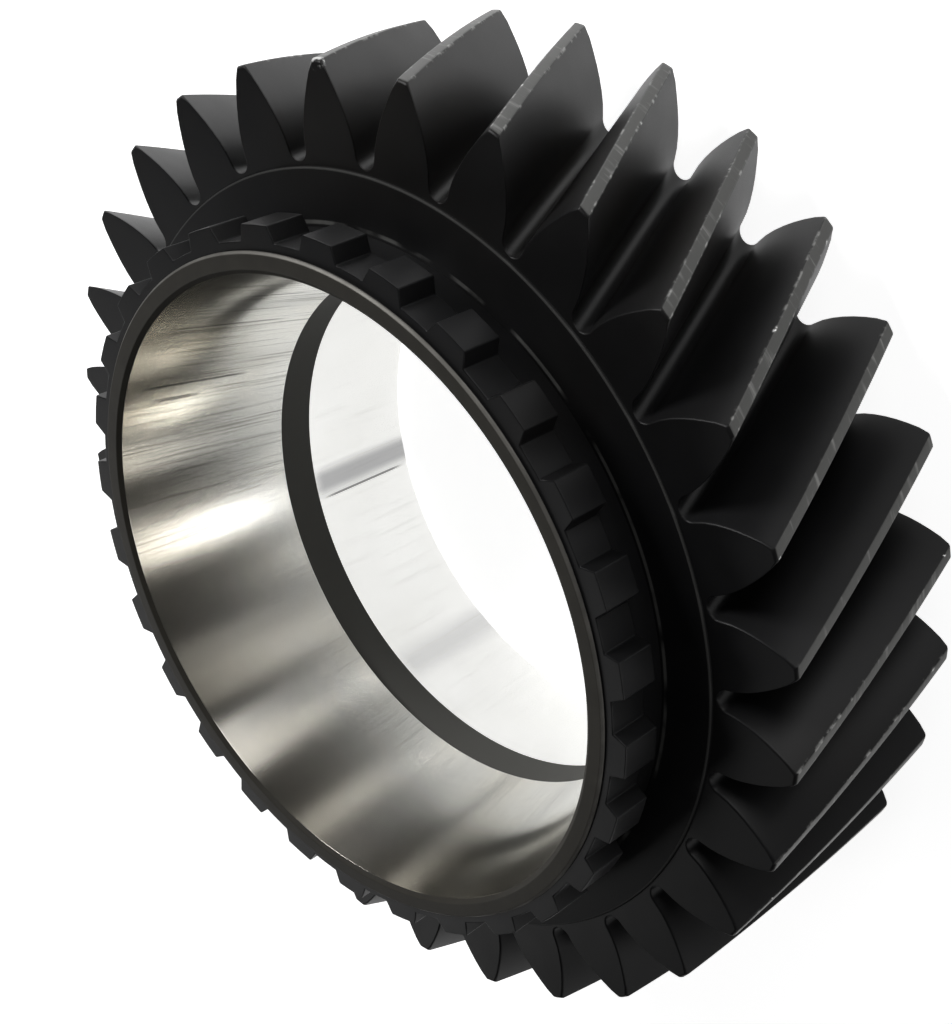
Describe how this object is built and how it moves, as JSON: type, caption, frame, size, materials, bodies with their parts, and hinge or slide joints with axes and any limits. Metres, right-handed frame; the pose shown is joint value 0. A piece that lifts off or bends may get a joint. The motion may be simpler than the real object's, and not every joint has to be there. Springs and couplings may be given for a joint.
{
  "type": "helical gear",
  "caption": "Helical transmission gear with a dog clutch ring on its front hub and a stepped bore that opens through a ground cone.",
  "frame": {"origin": "centre of the rear hub face, on the bore axis, where the gear rests when it lies on its back", "axes": "+Z along the bore axis from the rear hub face to the cone mouth; +X through the middle of one dog clutch tooth"},
  "size_m": [0.1574, 0.1574, 0.0589],
  "materials": {
    "helical_gear": "satin"
  },
  "bodies": {
    "root": {"helical_gear": "helical_gear"}
  },
  "joints": []
}
